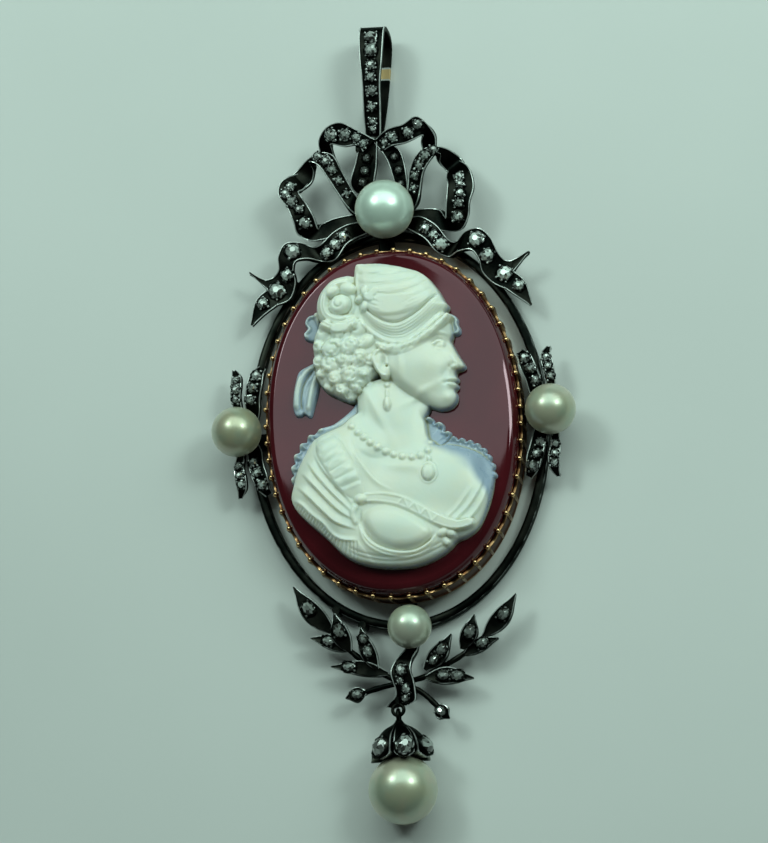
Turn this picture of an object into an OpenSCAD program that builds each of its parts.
/* [Cameo and collet] */
// Width of the polished sard face
face_w = 24.2; // [23.8:0.1:24.3]
// Length of the polished sard face
face_l = 33.9; // [33.4:0.1:34.1]
// Width of the bevel round the face
bevel = 0.5; // [0.45:0.05:0.55]
// Height of the sard face above the surface the pendant lies on
face_z = 5.4; // [5.2:0.1:5.8]
// Height of the top edge of the collet's wall
wall_z = 3.6; // [3.5:0.1:3.9]
// Number of ball-ended claws round the collet
claws = 54; // [50:2:58]
// Highest rise of the white relief above the sard face
relief_rise = 3.4; // [3:0.1:3.8]

/* [Silver frame] */
// Outer width of the oval rim
rim_w = 30.4; // [30.2:0.1:30.8]
// Outer length of the oval rim
rim_l = 40.8; // [40.6:0.1:41.2]
// Thickness of the rim, seen from the front
rim_t = 0.9; // [0.8:0.05:1]
// Thickness of the silver ribbons
ribbon_t = 0.5; // [0.4:0.05:0.6]

/* [Pearls] */
// Diameter of the top pearl
pearl_top_d = 5.9; // [5.6:0.1:6]
// Diameter of the two side pearls
pearl_side_d = 5.0; // [4.8:0.1:5.2]
// Diameter of the bottom pearl
pearl_bottom_d = 4.3; // [4:0.1:4.4]
// Diameter of the drop pearl
pearl_drop_d = 6.7; // [6.5:0.1:6.8]

/* [Bail] */
// Lean of the bail to the pendant's right, in degrees
bail_lean = 4.3; // [3:0.1:5]
// Radius of the hinge pin
pin_r = 0.36; // [0.32:0.01:0.38]

/* [Hidden] */

// Small gap kept between neighbouring pieces
gap = 0.05;
// Fullness of the stone's oval: 2 is a plain oval, more is squarer at the corners
fullness = 2.14;
// Half sizes of the face, the girdle and the rim
face_a = face_w / 2;
face_b = face_l / 2;
girdle_a = face_a + bevel;
girdle_b = face_b + bevel;
rim_a = rim_w / 2;
rim_b = rim_l / 2;
// Height of the underside and the top of the rim
rim_z0 = 0.4;
rim_z1 = 1.5;
// Thickness of the collet's closed back and of its wall, and height where the bevel starts
back_t = 0.8;
wall_t = 0.3;
girdle_z = wall_z + 0.4;
// Top of the pearl cups, their radius as a part of the pearl's diameter, and size of the pegs
cup_z = 1.65;
cup_share = 0.27;
peg_r = 0.35;
peg_bore_r = 0.45;
// How far a peg's foot reaches into its cup, and its bore past the pearl's middle
peg_foot = 0.3;
bore_past_middle = 0.3;
// Size of the bars behind the pearls and height of their middle
bar_w = 1.6;
bar_t = 0.8;
bar_z = 1;
post_r = 0.4;
// Thickness of the leaves and of the bail's strap
leaf_t = 0.6;
bail_t = 0.45;
// Rose cut: its rise for each millimetre of radius and its least rise
// Then its crown's radius and height and its table's radius, as parts of the whole
cut_rise = 0.62;
cut_least = 0.08;
crown_share = 0.74;
crown_height = 0.66;
table_share = 0.38;
// Stones of the cap: distance out from the drop's axis, distance along it, lean in degrees, radius
cap_stone_out = 2.96;
cap_stone_along = 4.0;
cap_stone_lean = 78;
cap_stone_r = 0.72;
// Thickness of the relief at its edge, and the width over which it rounds up
relief_edge = 0.35;
relief_round = 1.4;

// Colours of the materials
gold = "goldenrod";
silver = "dimgray";
sard = "brown";
ivory = "ivory";
nacre = "beige";
diamond = "lightgray";

// Pearl positions on the frame: x, y, diameter
pearl_top_at = [0.6, 21.8, pearl_top_d];
pearl_left_at = [-15.8, 0.6, pearl_side_d];
pearl_right_at = [15.8, -0.4, pearl_side_d];
pearl_bottom_at = [0.4, -20.6, pearl_bottom_d];
frame_pearls = [pearl_top_at, pearl_left_at, pearl_right_at, pearl_bottom_at];
// Centre of the drop pearl and height of its axis
drop_x = -1.3;
drop_y = -36.4;
drop_z = pearl_drop_d / 2 + gap;

// Ribbons, each a table with a row for each place where it bends
// Columns: x, y, z of the outer edge, then x, y, z of the inner edge
bow_loop_left = [
    [0.0, 29.4, 4.2, -1.3, 28.2, 4.2],
    [-1.9, 30.6, 4.6, -1.8, 28.9, 4.4],
    [-3.4, 31.4, 4.9, -3.2, 28.9, 4.4],
    [-4.9, 31.1, 4.6, -4.5, 29.4, 4.1],
    [-5.9, 30.0, 3.8, -4.6, 29.2, 3.2],
    [-5.9, 28.6, 2.6, -4.5, 28.2, 2.4]];
bow_loop_right = [
    [0.0, 29.5, 3.9, 0.9, 28.2, 3.9],
    [1.4, 30.2, 4.6, 1.8, 28.4, 4.4],
    [3.0, 30.4, 4.9, 3.1, 28.5, 4.4],
    [4.4, 31.1, 4.9, 4.3, 28.9, 4.4],
    [5.4, 30.4, 4.4, 4.9, 29.2, 4.0],
    [6.1, 29.2, 3.6, 4.5, 28.9, 3.2],
    [5.9, 28.0, 2.6, 4.5, 28.0, 2.4]];
side_loop_left = [
    [-0.8, 22.9, 1.6, -0.9, 21.6, 1.6],
    [-2.0, 23.6, 2.4, -2.3, 22.0, 2.3],
    [-2.6, 24.3, 3.5, -3.3, 22.7, 3.5],
    [-3.6, 26.6, 4.2, -5.0, 25.7, 4.2],
    [-4.3, 28.1, 4.5, -5.9, 27.2, 4.4],
    [-5.6, 28.6, 4.4, -6.9, 27.8, 4.2],
    [-7.2, 28.4, 3.4, -6.7, 27.2, 3.0],
    [-8.4, 27.6, 2.8, -7.0, 26.2, 2.6],
    [-9.1, 26.9, 3.1, -7.7, 25.5, 2.9]];
side_return_left = [
    [-8.3, 27.3, 2.5, -7.3, 26.3, 2.3],
    [-9.3, 26.8, 3.4, -7.8, 25.3, 3.2],
    [-10.1, 26.0, 3.9, -8.2, 24.9, 3.8],
    [-10.3, 24.7, 4.0, -7.9, 24.3, 4.0],
    [-9.5, 23.4, 3.9, -7.4, 23.5, 3.9],
    [-9.0, 21.9, 3.8, -6.8, 22.2, 3.8],
    [-8.7, 20.6, 3.3, -6.5, 21.0, 3.2],
    [-7.4, 20.0, 2.5, -6.3, 21.7, 2.4],
    [-5.3, 20.3, 2.0, -5.0, 22.3, 2.0],
    [-3.0, 20.8, 1.9, -3.1, 22.5, 1.9],
    [-1.0, 21.0, 1.6, -1.0, 22.4, 1.6]];
side_loop_right = [
    [1.6, 22.9, 1.6, 2.1, 21.8, 1.6],
    [2.6, 23.5, 2.4, 3.2, 22.2, 2.3],
    [2.9, 24.0, 3.5, 4.0, 22.9, 3.5],
    [3.3, 25.7, 4.2, 4.8, 25.4, 4.2],
    [4.2, 27.2, 4.5, 6.0, 26.9, 4.4],
    [5.7, 27.9, 4.4, 6.6, 27.0, 4.2],
    [7.1, 27.8, 3.6, 6.3, 26.4, 3.3],
    [8.3, 27.0, 2.8, 6.7, 25.8, 2.6],
    [8.7, 26.3, 2.95, 7.0, 25.45, 2.75]];
side_return_right = [
    [8.1, 26.8, 2.4, 7.0, 25.9, 2.3],
    [9.1, 25.8, 3.4, 6.8, 24.8, 3.2],
    [9.6, 24.6, 3.9, 7.0, 24.0, 3.8],
    [9.7, 23.2, 4.0, 6.9, 22.9, 4.0],
    [9.2, 21.8, 3.9, 6.7, 21.7, 3.9],
    [8.9, 20.3, 3.6, 6.5, 20.5, 3.5],
    [7.9, 19.2, 2.9, 6.3, 21.0, 2.8],
    [6.0, 19.6, 2.0, 5.6, 22.0, 2.0],
    [3.9, 20.6, 1.9, 3.9, 22.3, 1.9],
    [2.1, 20.9, 1.6, 2.1, 22.2, 1.6]];
leg_left = [
    [-1.6, 29.4, 3.85, 0.2, 29.2, 3.85],
    [-2.3, 27.4, 3.5, -0.1, 26.8, 3.5],
    [-3.0, 25.2, 3.1, -0.5, 24.9, 3.1],
    [-1.8, 23.9, 2.2, 0.1, 23.9, 2.2],
    [-0.6, 22.9, 1.6, 0.6, 22.7, 1.6]];
leg_right = [
    [-0.2, 29.2, 3.7, 1.1, 29.0, 3.7],
    [0.9, 27.4, 3.5, 2.5, 27.9, 3.5],
    [1.5, 24.8, 3.1, 2.9, 24.5, 3.1],
    [1.2, 23.7, 2.2, 2.4, 23.7, 2.2],
    [0.8, 22.7, 1.6, 1.9, 22.7, 1.6]];
tail_left = [
    [-1.0, 22.0, 1.6, -1.0, 20.6, 1.6],
    [-2.3, 21.5, 2.4, -2.1, 20.0, 2.4],
    [-3.6, 21.1, 3.2, -3.0, 19.4, 3.2],
    [-5.0, 20.4, 3.4, -3.8, 18.8, 3.4],
    [-6.4, 19.3, 3.3, -4.9, 17.5, 3.3],
    [-7.4, 19.4, 2.5, -6.4, 17.7, 2.5],
    [-8.6, 19.9, 2.9, -7.7, 18.0, 3.0],
    [-10.0, 19.8, 3.4, -8.9, 17.8, 3.4],
    [-10.8, 18.6, 3.3, -9.3, 16.9, 3.3],
    [-10.9, 17.3, 3.0, -9.2, 15.6, 3.0],
    [-11.6, 16.6, 2.7, -9.9, 14.1, 2.7],
    [-12.4, 16.4, 2.8, -11.4, 13.6, 2.6]];
tail_left_upper_point = [
    [-12.2, 16.4, 2.7, -12.0, 15.2, 2.7],
    [-13.1, 16.8, 2.9, -12.9, 16.1, 2.8],
    [-13.9, 17.4, 3.0, -13.8, 17.1, 3.0]];
tail_left_lower_point = [
    [-12.0, 15.6, 2.6, -11.2, 13.7, 2.6],
    [-13.5, 14.4, 2.6, -12.7, 12.8, 2.5],
    [-14.2, 12.0, 2.4, -14.0, 11.8, 2.4]];
tail_right = [
    [2.0, 21.8, 1.6, 1.7, 20.6, 1.6],
    [3.1, 21.4, 2.4, 2.3, 20.2, 2.4],
    [4.2, 21.0, 3.2, 3.0, 19.6, 3.2],
    [5.6, 19.9, 3.4, 4.3, 18.6, 3.4],
    [6.7, 18.3, 3.3, 5.3, 17.2, 3.3],
    [7.4, 18.3, 2.5, 6.4, 16.7, 2.5],
    [8.5, 19.1, 2.9, 7.5, 17.0, 3.0],
    [9.9, 19.1, 3.4, 8.9, 16.9, 3.4],
    [10.9, 18.1, 3.3, 9.6, 15.8, 3.3],
    [11.5, 16.6, 3.0, 9.8, 14.6, 3.0],
    [12.2, 15.7, 2.7, 10.8, 13.4, 2.7],
    [13.0, 15.6, 2.8, 12.2, 12.6, 2.6]];
tail_right_upper_point = [
    [12.8, 15.6, 2.7, 12.8, 14.3, 2.7],
    [13.7, 15.9, 2.9, 13.6, 15.1, 2.8],
    [14.6, 16.3, 3.0, 14.5, 16.0, 3.0]];
tail_right_lower_point = [
    [12.8, 14.6, 2.6, 12.0, 12.7, 2.6],
    [14.0, 13.3, 2.6, 13.2, 11.7, 2.5],
    [14.5, 11.0, 2.4, 14.3, 10.8, 2.4]];
// The wrapped ribbon at the crossing of the sprays
knot_ribbon = [
    [-0.3, -21.3, 1.6, 0.9, -21.3, 1.6],
    [-0.5, -22.4, 2.1, 0.8, -22.5, 2.1],
    [-1.1, -23.6, 3.7, 0.5, -23.7, 3.7],
    [-1.7, -24.8, 4.1, 0.3, -24.8, 4.1],
    [-1.6, -25.8, 4.1, 0.5, -25.8, 4.0],
    [-1.4, -26.6, 3.9, 0.6, -26.8, 3.9],
    [-1.5, -27.3, 3.6, 0.5, -27.9, 3.7],
    [-2.1, -27.7, 3.2, -0.5, -28.2, 3.4],
    [-2.6, -28.1, 2.7, -1.9, -28.4, 2.8]];
// The two legs of a scroll, measured from the pearl beside it, with the rim on their inner side
scroll_inner = [
    [0.25, 0.9, 1.3, 1.1, 0.6, 1.3],
    [0.5, 2.4, 2.1, 2.0, 2.0, 2.1],
    [0.75, 3.8, 2.9, 2.3, 3.6, 2.8],
    [1.05, 5.1, 3.1, 2.65, 4.9, 3.0],
    [1.45, 6.2, 2.9, 2.8, 6.0, 2.8],
    [2.2, 7.0, 2.3, 2.95, 6.6, 2.3]];
scroll_outer = [
    [-0.5, 0.9, 1.25, 0.05, 0.9, 1.25],
    [-0.55, 2.4, 2.1, 0.3, 2.2, 2.1],
    [-0.75, 3.9, 2.8, 0.3, 3.8, 2.9],
    [-0.7, 5.1, 2.9, 0.5, 5.1, 3.1],
    [-0.6, 6.1, 2.6, 0.4, 6.2, 2.8],
    [-0.6, 6.9, 2.2, -0.2, 6.9, 2.2]];
// Columns: x and y of the pearl, side and end as 1 or -1, turn inward in degrees, shift to the pearl
scrolls = [
    [pearl_left_at[0], pearl_left_at[1], 1, 1, 0, 0],
    [pearl_left_at[0], pearl_left_at[1], 1, -1, 0, 0.5],
    [pearl_right_at[0], pearl_right_at[1], -1, 1, 3, 0],
    [pearl_right_at[0], pearl_right_at[1], -1, -1, 3, 0.5]];

// Leaves of the laurel sprays and their buds
// Columns: x, y of the base, x, y of the tip, width, bend to the side, height of the upper face
leaves = [
    [-7.5, -20.2, -11.2, -15.3, 2.0, 0.3, 2.5],
    [-5.9, -22.3, -7.2, -18.4, 1.8, 0.2, 2.7],
    [-5.9, -22.1, -9.8, -20.6, 1.5, -0.2, 2.4],
    [-3.3, -24.3, -4.7, -20.0, 1.6, 0.2, 2.6],
    [-2.3, -24.8, -7.9, -23.6, 1.5, -0.2, 2.4],
    [-4.6, -26.4, -6.6, -26.9, 1.5, 0, 2.4],
    [7.4, -22.0, 10.9, -18.1, 1.8, -0.3, 2.5],
    [5.2, -23.1, 6.7, -19.8, 1.7, -0.2, 2.7],
    [5.4, -23.6, 8.9, -22.3, 1.4, 0.2, 2.4],
    [1.4, -24.8, 4.3, -21.5, 1.8, -0.2, 2.6],
    [1.4, -25.5, 6.2, -26.0, 1.7, 0.2, 2.4],
    [2.3, -28.5, 3.6, -29.8, 1.5, 0, 2.5]];
// Height of the middle of each stem
stem_left_z = 2.08;
stem_right_z = 1.9;
stem_w = 0.55;
// Stems from the outermost leaf through the crossing to the bud on the other side
stem_left = [
    [-7.7, -20.0], [-5.9, -22.2], [-3.3, -24.4], [-1.2, -25.7], [0.8, -26.8], [2.2, -28.2], [2.6, -28.8]];
stem_right = [
    [7.6, -21.8], [5.3, -23.4], [2.9, -24.6], [1.0, -25.4], [-1.9, -25.8], [-4.1, -26.2], [-5.0, -26.5]];

// Diamonds on the ribbons: place along the table's rows, place across from 0 to 1, radius
loop_left_stones = [[0.45, 0.6, 0.4], [1.0, 0.55, 0.45], [1.75, 0.5, 0.55], [2.75, 0.5, 0.6]];
loop_right_stones = [[0.55, 0.6, 0.4], [1.2, 0.5, 0.5], [2.3, 0.55, 0.5], [3.15, 0.4, 0.5]];
side_left_stones = [
    [2.3, 0.5, 0.3], [2.75, 0.5, 0.35], [3.3, 0.5, 0.42], [4.0, 0.5, 0.48], [4.75, 0.45, 0.42]];
return_left_stones = [
    [1.8, 0.5, 0.45], [2.75, 0.35, 0.43], [3.6, 0.4, 0.5], [4.3, 0.5, 0.4], [5.3, 0.5, 0.6]];
side_right_stones = [
    [2.3, 0.5, 0.3], [2.8, 0.5, 0.35], [3.3, 0.5, 0.42], [3.95, 0.5, 0.46], [4.75, 0.45, 0.42]];
return_right_stones = [
    [1.75, 0.5, 0.45], [2.5, 0.5, 0.36], [3.2, 0.5, 0.42], [4.0, 0.45, 0.45], [4.9, 0.45, 0.55]];
leg_left_stones = [[0.75, 0.5, 0.4], [1.3, 0.5, 0.45], [1.85, 0.5, 0.4]];
leg_right_stones = [[1.05, 0.5, 0.38], [1.5, 0.5, 0.38], [1.95, 0.5, 0.33]];
tail_left_stones = [
    [2.6, 0.5, 0.5], [3.4, 0.5, 0.55], [4.1, 0.5, 0.5], [6.85, 0.5, 0.75], [8.9, 0.5, 0.6],
    [10.4, 0.5, 0.8]];
tail_right_stones = [
    [2.6, 0.5, 0.45], [3.25, 0.5, 0.5], [3.9, 0.5, 0.6], [7.1, 0.5, 0.75], [8.5, 0.5, 0.65],
    [10.4, 0.5, 0.75]];
point_stones = [[0.75, 0.45, 0.5]];
knot_stones = [[3.0, 0.5, 0.5], [4.05, 0.35, 0.32], [4.95, 0.55, 0.44], [5.95, 0.5, 0.38]];
inner_stones = [[1.85, 0.35, 0.45], [2.7, 0.4, 0.45], [3.75, 0.5, 0.5]];
outer_stones = [[1.9, 0.5, 0.36], [2.65, 0.5, 0.38], [3.45, 0.5, 0.36]];
// Diamonds on the leaves: leaf, place along it from 0 to 1, radius
leaf_stones = [
    [0, 0.55, 0.6], [1, 0.55, 0.6], [2, 0.55, 0.5], [3, 0.72, 0.42], [3, 0.42, 0.48], [4, 0.68, 0.5],
    [5, 0.4, 0.48], [6, 0.55, 0.55], [7, 0.5, 0.58], [8, 0.55, 0.5], [9, 0.6, 0.52], [9, 0.3, 0.45],
    [10, 0.66, 0.55], [10, 0.38, 0.5], [11, 0.4, 0.48]];

// The bail's strap, from its eye up the front, over the top and down the back
// Columns: distance along the bail from the pin, height above the pin, half width
bail_strap = [
    [0.1, 0.55, 0.78],
    [1.3, 0.95, 0.85],
    [3.4, 1.6, 0.92],
    [5.6, 2.15, 0.95],
    [7.7, 2.45, 1.15],
    [10.2, 2.5, 1.28],
    [11.3, 2.15, 1.3],
    [11.75, 1.2, 1.3],
    [11.8, 0.1, 1.3],
    [11.6, -1.2, 1.3],
    [11.0, -2.1, 1.28],
    [9.6, -2.3, 1.25],
    [6.6, -2.2, 1.1],
    [3.6, -1.7, 0.95],
    [1.4, -1.0, 0.85],
    [0.1, -0.55, 0.78]];
// Place along the strap's rows, radius
bail_stones = [
    [0.8, 0.3], [1.25, 0.34], [1.9, 0.42], [2.6, 0.48], [3.25, 0.45], [3.85, 0.5], [4.45, 0.62],
    [5.05, 0.6]];
// The pin's place, below the crossing of the bow
pin_at = [-0.4, 29.8, 2.4];
eye_r = 0.75;
eye_l = 1.6;
lug_t = 0.7;
side_play = 0.12;
pin_play = 0.06;

// Outline of the bust: y, x on the left, x on the right, a row for each change of the outline
bust_rows = [
    [15.7, -0.8, 1.0], [15.2, -2.4, 2.3], [14.0, -5.2, 4.4], [12.7, -6.2, 5.6], [11.2, -6.5, 6.6],
    [9.8, -6.9, 6.9], [8.6, -7.2, 7.0], [7.4, -7.2, 6.8], [6.4, -7.1, 7.3], [5.2, -6.8, 7.8],
    [4.2, -6.3, 7.2], [3.3, -5.7, 7.2], [2.4, -4.8, 7.0], [1.5, -3.6, 6.9], [0.5, -3.5, 6.6],
    [-0.2, -4.6, 4.8], [-0.9, -7.2, 3.6], [-2.0, -8.0, 3.6], [-3.1, -8.8, 4.9], [-4.1, -9.3, 7.9],
    [-5.2, -9.7, 9.3], [-6.6, -10.0, 9.9], [-8.2, -9.9, 9.8], [-9.6, -9.0, 9.4], [-11.0, -7.8, 8.5],
    [-12.3, -6.3, 7.3], [-13.4, -5.0, 5.6], [-14.3, -3.4, 4.4], [-14.9, -1.6, 2.8], [-15.2, -0.6, 0.4]];
// Rounded masses that raise the bust: x, y, half width, half length, turn, height as a part of the rise
bust_masses = [
    [0.9, 10.6, 6.4, 5.2, -10, 0.95],
    [-3.9, 12.0, 2.6, 2.2, 20, 0.85],
    [-3.8, 7.6, 3.6, 3.6, 0, 0.78],
    [-3.6, 3.6, 2.8, 2.4, 30, 0.66],
    [2.6, 5.2, 5.0, 6.6, -8, 0.92],
    [-0.4, 0.0, 4.2, 6.0, 12, 0.62],
    [5.6, -7.6, 5.0, 4.6, -20, 0.8],
    [-5.2, -5.4, 5.2, 4.4, -30, 0.88],
    [0.6, -8.4, 7.6, 6.4, 0, 0.86],
    [-5.6, -8.8, 4.6, 4.0, -35, 0.8],
    [0.4, -11.8, 6.2, 3.8, 0, 0.8]];
bust_across = 18;

function unit(v) = v / max(norm(v), 0.0001);
function clamp(v, lo, hi) = min(max(v, lo), hi);

// Smooth value of a table at a place between its rows
function row_at(rows, t) =
    let (last = len(rows) - 1, i = clamp(floor(t), 0, last - 1), f = t - i,
        a = rows[max(i - 1, 0)], b = rows[i], c = rows[i + 1], d = rows[min(i + 2, last)])
    0.5 * (2 * b + (c - a) * f + (2 * a - 5 * b + 4 * c - d) * f * f
        + (3 * b - a - 3 * c + d) * f * f * f);

function edge_a(row) = [row[0], row[1], row[2]];
function edge_b(row) = [row[3], row[4], row[5]];

// Face direction of a ribbon at a place along its rows
function facing_raw(rows, t) =
    let (last = len(rows) - 1,
        lo = row_at(rows, clamp(t - 0.2, 0, last)), hi = row_at(rows, clamp(t + 0.2, 0, last)),
        here = row_at(rows, t),
        along = edge_a(hi) + edge_b(hi) - edge_a(lo) - edge_b(lo))
    unit(cross(edge_b(here) - edge_a(here), along));
function facing(rows, t) = facing_raw(rows, t) * (facing_raw(rows, 0.5)[2] < 0 ? -1 : 1);

// Solid ribbon of one thickness between its two edges
module ribbon(rows, thick = ribbon_t) {
    steps = len(rows) > 6 ? 1 : 2;
    last = (len(rows) - 1) * steps;
    flip = facing_raw(rows, 0.5)[2] < 0;
    rings = [for (i = [0:last])
        let (t = i / steps, r = row_at(rows, t), down = -thick * facing(rows, t))
        [edge_a(r), edge_b(r), edge_b(r) + down, edge_a(r) + down]];
    skin(flip ? [for (r = rings) [r[1], r[0], r[3], r[2]]] : rings);
}

// Solid through a list of rings that have the same number of points
module skin(rings) {
    n = len(rings[0]);
    last = len(rings) - 1;
    points = [for (r = rings) for (p = r) p];
    sides = [for (i = [0:last - 1]) for (j = [0:n - 1])
        let (k = (j + 1) % n, a = i * n + j, b = i * n + k)
        each [[a, b + n, b], [a, a + n, b + n]]];
    polyhedron(points, concat([[for (j = [0:n - 1]) j]], sides, [[for (j = [n - 1:-1:0]) last * n + j]]));
}

function reversed(list) = [for (i = [len(list) - 1:-1:0]) list[i]];

// Points of an oval
function oval(a, b, n, z = 0) = [for (i = [0:n - 1]) [a * cos(360 * i / n), b * sin(360 * i / n), z]];

// Point on the stone's fuller oval
function full_point(a, b, angle, z) =
    let (c = cos(angle), s = sin(angle), swell = pow(pow(abs(c), fullness) + pow(abs(s), fullness), -1 / fullness))
    [a * c * swell, b * s * swell, z];
function full_oval(a, b, n, z) = [for (i = [0:n - 1]) full_point(a, b, 360 * i / n, z)];

// Rose-cut stone: flat base, two tiers of facets and a small table
module rose_cut(r) {
    rise = cut_rise * r + cut_least;
    table = table_share * r;
    crown = turned_oval(crown_share * r, rise * crown_height);
    skin([oval(r, r, 8, 0), crown, oval(table, table, 8, rise)]);
}
function turned_oval(r, z) = [for (i = [0:7]) [r * cos(45 * i + 0.01), r * sin(45 * i + 0.01), z]];

// Places a child on a point with its upward direction along a given one
module stand_on(p, up, along) {
    x = unit(along - (along * up) * up);
    y = cross(up, x);
    multmatrix([[x[0], y[0], up[0], p[0]], [x[1], y[1], up[1], p[1]], [x[2], y[2], up[2], p[2]]])
        children();
}

// A row of stones set along a ribbon
module set_along(rows, stones) {
    for (s = stones) {
        r = row_at(rows, s[0]);
        up = facing(rows, s[0]);
        p = edge_a(r) + s[1] * (edge_b(r) - edge_a(r)) + stone_lift(s[2]) * up;
        stand_on(p, up, edge_b(r) - edge_a(r)) rose_cut(s[2]);
    }
}
function stone_lift(r) = gap + 0.06 * r;

// Moves a ribbon table to a scroll's place on the frame
function placed(rows, s) = [for (r = rows) concat(placed_point(edge_a(r), s), placed_point(edge_b(r), s))];
function placed_point(p, s) =
    let (x = p[0], y = p[1] - s[5], c = cos(-s[4]), n = sin(-s[4]))
    [s[0] + s[2] * (x * c - y * n), s[1] + s[3] * (x * n + y * c), p[2]];

// Leaf as a ribbon that swells and closes to a point
leaf_swell = [0.25, 0.72, 0.98, 1, 0.8, 0.42, 0.06];
function leaf_middle(leaf, f) =
    let (base = [leaf[0], leaf[1]], tip = [leaf[2], leaf[3]], d = tip - base, side = unit([-d[1], d[0]]))
    base + f * d + leaf[5] * sin(180 * f) * side;
function leaf_rows(leaf) =
    let (n = len(leaf_swell) - 1, d = [leaf[2] - leaf[0], leaf[3] - leaf[1]], side = unit([-d[1], d[0]]))
    [for (i = [0:n])
        let (m = leaf_middle(leaf, i / n), w = leaf[4] / 2 * leaf_swell[i] * side,
            z = leaf[6] + 0.35 * sin(140 * i / n))
        [m[0] + w[0], m[1] + w[1], z, m[0] - w[0], m[1] - w[1], z]];

// Round stem along a path
module stem(path, z) {
    for (i = [0:len(path) - 2]) hull() {
        stem_knuckle(path[i], z);
        stem_knuckle(path[i + 1], z);
    }
}
module stem_knuckle(p, z) {
    translate([p[0], p[1], z]) sphere(r = stem_w / 2, $fn = 6);
}

function pearl_z(p) = cup_z + gap + p[2] / 2;

// Half-drilled pearl standing on its cup
module pearl_on_cup(p) {
    r = p[2] / 2;
    translate([p[0], p[1], pearl_z(p)]) difference() {
        sphere(r = r, $fn = 64);
        translate([0, 0, -r - 1]) cylinder(r = peg_bore_r, h = r + 1 + bore_past_middle, $fn = 32);
    }
}

// Cup and peg that carry a pearl
module cup(p) {
    translate([p[0], p[1], rim_z0]) cylinder(r = cup_share * p[2], h = cup_z - rim_z0, $fn = 16);
    translate([p[0], p[1], cup_z - peg_foot]) cylinder(r = peg_r, h = peg_foot + gap + p[2] / 2, $fn = 10);
}

module oval_band(a, b, t, z0, z1) {
    translate([0, 0, z0]) linear_extrude(height = z1 - z0) difference() {
        polygon([for (p = oval(a, b, 60)) [p[0], p[1]]]);
        polygon([for (p = oval(a - t, b - t, 60)) [p[0], p[1]]]);
    }
}

// Ring of round wire
module wire_ring(radius, wire) {
    rotate_extrude($fn = 12) translate([radius, 0]) circle(r = wire, $fn = 6);
}

// Section of the collet's wall between two claws, and at a claw: offset from the girdle, height
wall_section = [[-0.5, 0], [0.15, 0.3], [gap + wall_t, wall_z - 0.4], [gap + wall_t, wall_z],
    [gap + 0.8 * wall_t, wall_z], [gap + 0.5 * wall_t, wall_z], [gap, wall_z - 0.3], [-0.6, back_t]];
claw_section = [[-0.5, 0], [0.25, 0.3], [0.4, wall_z - 0.2], [0.42, wall_z + 0.8],
    [-0.12, wall_z + 0.95], [gap + 0.04, girdle_z + 0.04], [gap, wall_z - 0.3], [-0.6, back_t]];
// Share of a claw's spacing at which its three columns stand
claw_columns = [-0.08, 0.32, 0.62];
// Degrees by which the leftmost claw is moved on, so that the claws stand a little closer along the top
crowding = 4;
function crowded(t) = t - crowding / 2 * (1 - cos(t));
// Angle on the oval at an even distance along its edge
function even_angle(t) = t - 90 / PI * (girdle_b - girdle_a) / (girdle_b + girdle_a) * sin(2 * t);

module collet() {
    rings = [for (k = [0:len(wall_section) - 1])
        [for (i = [0:claws - 1]) for (c = [0:2])
            let (s = c < 2 ? claw_section[k] : wall_section[k],
                angle = even_angle(crowded(360 * (i + claw_columns[c]) / claws)))
            full_point(girdle_a + s[0], girdle_b + s[0], angle, s[1])]];
    color(gold) skin(rings);
}

module cameo_ground() {
    n = 56;
    color(sard) skin([
        full_oval(girdle_a - 0.65, girdle_b - 0.65, n, back_t + 2 * gap),
        full_oval(girdle_a, girdle_b, n, wall_z - 0.2),
        full_oval(girdle_a, girdle_b, n, girdle_z),
        full_oval(face_a, face_b, n, face_z)]);
}

// Height of the bust at a point, from the mass that stands highest there
function mass_height(m, x, y) =
    let (c = cos(m[4]), s = sin(m[4]), u = ((x - m[0]) * c + (y - m[1]) * s) / m[2],
        v = ((y - m[1]) * c - (x - m[0]) * s) / m[3], q = u * u + v * v)
    q < 1 ? m[5] * (0.35 + 0.65 * sqrt(1 - q)) : 0;
function bust_height(x, y) = max([for (m = bust_masses) mass_height(m, x, y)]);

module cameo_relief() {
    low = face_z + gap;
    rings = [for (r = bust_rows)
        let (wide = r[2] - r[1])
        concat(
            [for (j = [0:bust_across])
                let (f = j / bust_across, x = r[1] + wide * f,
                    rim = sqrt(clamp(min(f, 1 - f) * wide / relief_round, 0, 1)),
                    h = relief_edge + (relief_rise - relief_edge) * max(bust_height(x, r[0]), 0.3) * rim)
                [x, r[0], low + h]],
            [[r[2], r[0], low], [r[1], r[0], low]])];
    color(ivory) skin(reversed(rings));
}

module silver_frame() {
    color(silver) union() {
        oval_band(rim_a, rim_b, rim_t, rim_z0, rim_z1);
        for (p = frame_pearls) cup(p);
        collet_bars();
        for (rows = [bow_loop_left, bow_loop_right, side_loop_left, side_return_left,
                side_loop_right, side_return_right, leg_left, leg_right,
                tail_left, tail_left_upper_point, tail_left_lower_point,
                tail_right, tail_right_upper_point, tail_right_lower_point, knot_ribbon])
            ribbon(rows);
        for (s = scrolls) {
            ribbon(placed(scroll_inner, s));
            ribbon(placed(scroll_outer, s));
        }
        for (leaf = leaves) ribbon(leaf_rows(leaf), leaf_t);
        stem(stem_left, stem_left_z);
        stem(stem_right, stem_right_z);
        posts();
        lugs();
        drop_eye();
    }
}

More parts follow.
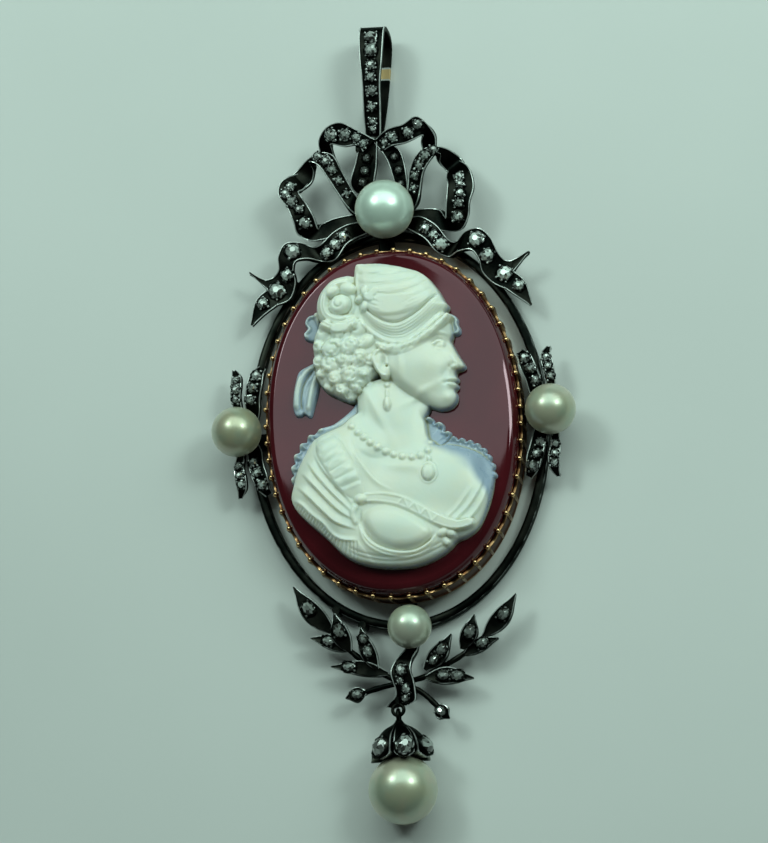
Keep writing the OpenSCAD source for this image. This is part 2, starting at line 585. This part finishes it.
// Bars behind the pearls that carry the collet in the rim
module collet_bars() {
    clear = claw_section[2][0] + gap;
    for (p = frame_pearls) {
        upright = abs(p[1]) > abs(p[0]);
        inner = (upright ? girdle_b : girdle_a) + clear;
        length = (upright ? abs(p[1]) : abs(p[0])) - inner;
        rotate([0, 0, upright ? (p[1] > 0 ? 90 : -90) : (p[0] > 0 ? 0 : 180)])
            translate([inner + length / 2, 0, bar_z]) cube([length, bar_w, bar_t], center = true);
    }
}

// Posts that carry the ribbons on the rim: x, y, height
post_table = [
    [-9.5, 15.8, 2.9], [9.9, 15.4, 2.9], [-14.2, 4.8, 2.7], [-14.2, -3.9, 2.7], [14.2, 4.0, 2.7],
    [14.1, -4.6, 2.7], [-6.2, 18.3, 2.9], [6.5, 18.1, 2.6], [-7.1, -18.0, 2.5], [-4.6, -19.7, 2.5],
    [-0.7, -25.7, 3.9]];
module posts() {
    for (p = post_table)
        translate([p[0], p[1], rim_z0 + 0.1]) cylinder(r = post_r, h = p[2] - rim_z0 - 0.2, $fn = 8);
}

// Foot of a lug from the pin: its length and height, and the place of its middle
lug_foot = [1.5, 1.6];
lug_foot_at = [-0.7, 0.7];
lug_bore_play = 0.04;
// The two lugs below the crossing of the bow that hold the bail's pin
module lugs() {
    for (side = [-1, 1]) at_pin() {
        x = side * (eye_l / 2 + side_play + lug_t / 2);
        translate([x, 0, 0]) difference() {
            union() {
                rotate([0, 90, 0]) cylinder(r = eye_r, h = lug_t, center = true, $fn = 16);
                translate([0, lug_foot_at[0], lug_foot_at[1]])
                    cube([lug_t, lug_foot[0], lug_foot[1]], center = true);
            }
            rotate([0, 90, 0]) cylinder(r = pin_r + lug_bore_play, h = lug_t + 1, center = true, $fn = 16);
        }
    }
}

module at_pin() {
    translate(pin_at) rotate([0, 0, -bail_lean]) children();
}

// Eye of the frame that the drop's ring hangs in
ring_r = 0.55;
ring_wire = 0.18;
eye_y = -28.6;
// Width and length of the block that joins the eye to the ribbon above it
eye_block_w = 0.5;
eye_block_l = 0.7;
module drop_eye() {
    translate([drop_x, eye_y, drop_z]) wire_ring(ring_r, ring_wire);
    translate([drop_x, eye_y + ring_r + eye_block_l / 2, drop_z])
        cube([eye_block_w, eye_block_l, eye_block_w], center = true);
}

// Outline of the cap along the drop's axis: distance from the pearl's centre, radius, scallop, waist
cap_outline = [[6.9, 0.25, 0, 0], [6.4, 0.6, 0, 0], [5.9, 1.45, 0, 0.03], [5.1, 2.3, 0, 0.06],
    [4.0, 2.85, 0.1, 0.1], [2.8, 2.95, 0.7, 0.14]];
petals = 7;
// Turn of the front petal from the drop's highest line, and columns on each petal
petal_turn = 18;
petal_columns = 5;
cap_columns = petals * petal_columns;
function cap_angle(i) = petal_turn - 90 + 360 * i / cap_columns;
// 1 along the middle of a petal, 0 between two
function petal_lobe(i) = abs(cos(180 * i / petal_columns));

module drop_cap() {
    inside = pearl_drop_d / 2 + 2 * gap;
    outer = [for (row = cap_outline)
        [for (i = [0:cap_columns - 1])
            let (angle = cap_angle(i), notch = 1 - petal_lobe(i), r = row[1] * (1 - row[3] * notch))
            [r * cos(angle), r * sin(angle), row[0] + row[2] * notch]]];
    lip = cap_outline[len(cap_outline) - 1];
    inner = [for (share = [1, 0.6, 0.25])
        [for (i = [0:cap_columns - 1])
            let (angle = cap_angle(i), low = lip[0] + lip[2] * (1 - petal_lobe(i)),
                r = share * sqrt(inside * inside - low * low))
            [r * cos(angle), r * sin(angle), sqrt(inside * inside - r * r)]]];
    color(silver) at_drop() union() {
        skin(reversed(concat(outer, inner)));
        translate([0, 0, drop_y_to_ring()]) rotate([0, 90, 0]) wire_ring(ring_r, ring_wire);
    }
}
function drop_y_to_ring() = (eye_y - ring_r) - drop_y;

module at_drop() {
    translate([drop_x, drop_y, drop_z]) rotate([-90, 0, 0]) children();
}

module pearl_drop() {
    color(nacre) at_drop() sphere(r = pearl_drop_d / 2, $fn = 64);
}

// Front petals carry one stone each
module cap_diamonds() {
    color(diamond) for (petal = [-1, 0, 1])
        at_drop() rotate([0, 0, cap_angle(petal * petal_columns)])
            translate([cap_stone_out, 0, cap_stone_along])
                rotate([0, cap_stone_lean, 0]) rose_cut(cap_stone_r);
}

function bail_rows() = [for (r = bail_strap) [-r[2], r[0], r[1], r[2], r[0], r[1]]];

module bail() {
    color(silver) at_pin() difference() {
        union() {
            ribbon(bail_rows(), bail_t);
            rotate([0, 90, 0]) cylinder(r = eye_r, h = eye_l, center = true, $fn = 32);
        }
        rotate([0, 90, 0]) cylinder(r = pin_r + pin_play, h = eye_l + 2, center = true, $fn = 32);
    }
}

module bail_pin() {
    length = eye_l + 2 * side_play + 2 * lug_t;
    color(silver) at_pin() rotate([0, 90, 0]) cylinder(r = pin_r, h = length, center = true, $fn = 32);
}

module bail_diamonds() {
    color(diamond) at_pin() set_along(bail_rows(), [for (s = bail_stones) [s[0], 0.5, s[1]]]);
}

module bow_diamonds() {
    color(diamond) {
        set_along(bow_loop_left, loop_left_stones);
        set_along(bow_loop_right, loop_right_stones);
        set_along(side_loop_left, side_left_stones);
        set_along(side_return_left, return_left_stones);
        set_along(side_loop_right, side_right_stones);
        set_along(side_return_right, return_right_stones);
        set_along(leg_left, leg_left_stones);
        set_along(leg_right, leg_right_stones);
    }
}

module tail_diamonds() {
    color(diamond) {
        set_along(tail_left, tail_left_stones);
        set_along(tail_left_lower_point, point_stones);
        set_along(tail_right, tail_right_stones);
        set_along(tail_right_lower_point, point_stones);
    }
}

module scroll_diamonds() {
    color(diamond) for (s = scrolls) {
        set_along(placed(scroll_inner, s), inner_stones);
        set_along(placed(scroll_outer, s), outer_stones);
    }
}

module spray_diamonds() {
    color(diamond) {
        for (s = leaf_stones)
            set_along(leaf_rows(leaves[s[0]]), [[s[1] * (len(leaf_swell) - 1), 0.5, s[2]]]);
        set_along(knot_ribbon, knot_stones);
    }
}

module pearl_top() { color(nacre) pearl_on_cup(pearl_top_at); }
module pearl_left() { color(nacre) pearl_on_cup(pearl_left_at); }
module pearl_right() { color(nacre) pearl_on_cup(pearl_right_at); }
module pearl_bottom() { color(nacre) pearl_on_cup(pearl_bottom_at); }

collet();
cameo_ground();
cameo_relief();
silver_frame();
pearl_top();
pearl_left();
pearl_right();
pearl_bottom();
pearl_drop();
drop_cap();
bail();
bail_pin();
bow_diamonds();
tail_diamonds();
scroll_diamonds();
spray_diamonds();
cap_diamonds();
bail_diamonds();
